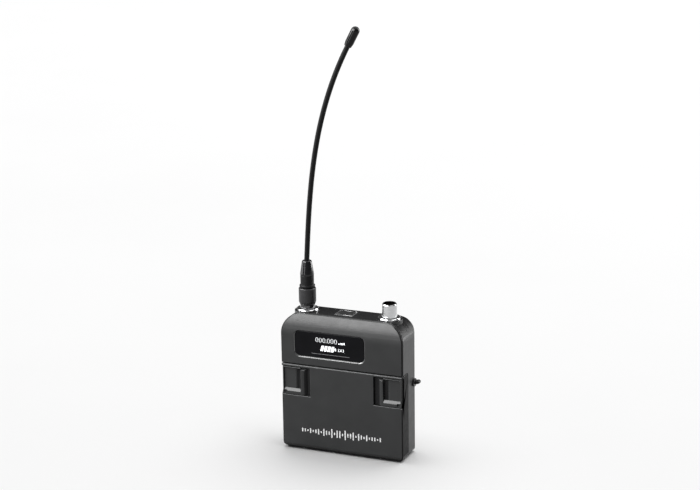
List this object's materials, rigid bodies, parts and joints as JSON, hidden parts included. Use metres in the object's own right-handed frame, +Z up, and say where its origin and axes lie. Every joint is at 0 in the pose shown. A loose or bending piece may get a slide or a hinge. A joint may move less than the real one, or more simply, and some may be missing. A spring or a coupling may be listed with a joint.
{
  "type": "body-pack transmitter",
  "caption": "Flat belt-worn radio transmitter for a lavalier microphone: display, battery door with side latches, screw-down plug barrel, whip antenna and wire belt clip.",
  "frame": {"origin": "middle of the flat bottom face of the case, half way through its depth", "axes": "+X to the right seen from the front, +Y to the back with the belt clip, +Z up towards the antenna"},
  "size_m": [0.0706, 0.0225, 0.2151],
  "materials": {
    "shell_black": "satin black paint",
    "cover_grey": "satin charcoal paint",
    "door_grey": "satin charcoal paint",
    "latch_grey": "fine matt moulding",
    "window_gloss": "polished black lens",
    "display_black": "display body",
    "board_green": "solder resist",
    "tin_plate": "tin plate",
    "switch_black": "moulded",
    "tray_black": "moulded",
    "cell_jacket": "printed jacket",
    "spring_plate": "nickel plated",
    "key_rubber": "moulded key",
    "button_grey": "satin moulding",
    "chrome": "polished",
    "satin_chrome": "satin",
    "nut_black": "turned black collar",
    "boot_rubber": "semi-gloss",
    "whip_rubber": "semi-gloss",
    "tip_gloss": "gloss",
    "insulator_black": "moulded",
    "contact_gold": "gold plated",
    "steel_pin": "ground",
    "clip_wire": "black coated spring wire",
    "bush_black": "moulded",
    "screw_black": "black oxide"
  },
  "bodies": {
    "case": {"rear_shell": "shell_black", "front_cover": "cover_grey", "display_window": "window_gloss", "display_module": "display_black", "main_board": "board_green", "rf_shield": "tin_plate", "tact_switches": "switch_black", "battery_tray": "tray_black", "control_panel": "tray_black", "cell_lower": "cell_jacket", "cell_upper": "cell_jacket", "contact_bridge": "spring_plate", "contact_terminals": "spring_plate", "contact_springs": "spring_plate", "button_frame": "tray_black", "antenna_jack": "chrome", "antenna_bezel": "chrome", "connector_barrel": "satin_chrome", "connector_insulator": "insulator_black", "connector_pins": "contact_gold", "connector_bezel": "chrome", "hinge_pins": "steel_pin", "clip_bushes": "bush_black", "case_screws": "screw_black"},
    "door": {"battery_door": "door_grey", "latch_spring_left": "spring_plate", "latch_spring_right": "spring_plate"},
    "latch_left": {"latch_left": "latch_grey"},
    "latch_right": {"latch_right": "latch_grey"},
    "set_button": {"set_button": "key_rubber"},
    "up_button": {"up_button": "key_rubber"},
    "down_button": {"down_button": "key_rubber"},
    "mute_button": {"mute_button": "button_grey"},
    "antenna": {"antenna_nut": "nut_black", "antenna_boot": "boot_rubber", "antenna_whip": "whip_rubber", "antenna_tip": "tip_gloss"},
    "clip": {"belt_clip": "clip_wire"}
  },
  "joints": [
    {"name": "door_hinge", "type": "hinge", "parent": "case", "child": "door", "pos_m": [0, -0.00625, 0.003], "axis": [1, 0, 0], "range_deg": [0, 90]},
    {"name": "latch_left_slide", "type": "slide", "parent": "door", "child": "latch_left", "axis": [1, 0, 0], "range_m": [0, 0.0015], "stiffness_N_per_m": 500, "springref_m": -0.0005, "deforming": ["latch_spring_left"]},
    {"name": "latch_right_slide", "type": "slide", "parent": "door", "child": "latch_right", "axis": [-1, 0, 0], "range_m": [0, 0.0015], "stiffness_N_per_m": 500, "springref_m": -0.0005, "deforming": ["latch_spring_right"]},
    {"name": "set_press", "type": "slide", "parent": "case", "child": "set_button", "axis": [0, 1, 0], "range_m": [0, 0.0005], "stiffness_N_per_m": 800},
    {"name": "up_press", "type": "slide", "parent": "case", "child": "up_button", "axis": [0, 1, 0], "range_m": [0, 0.0005], "stiffness_N_per_m": 800},
    {"name": "down_press", "type": "slide", "parent": "case", "child": "down_button", "axis": [0, 1, 0], "range_m": [0, 0.0005], "stiffness_N_per_m": 800},
    {"name": "mute_press", "type": "slide", "parent": "case", "child": "mute_button", "axis": [0, 0, -1], "range_m": [0, 0.0006], "stiffness_N_per_m": 800},
    {"name": "antenna_unscrew", "type": "hinge", "parent": "case", "child": "antenna", "pos_m": [-0.022, 0.001, 0.078], "axis": [0, 0, 1], "range_deg": [0, 1260]},
    {"name": "clip_swing", "type": "hinge", "parent": "case", "child": "clip", "pos_m": [0, 0.0064, 0.0374], "axis": [1, 0, 0], "range_deg": [0, 25], "stiffness_Nm_per_rad": 0.3, "springref_deg": -2.86}
  ]
}
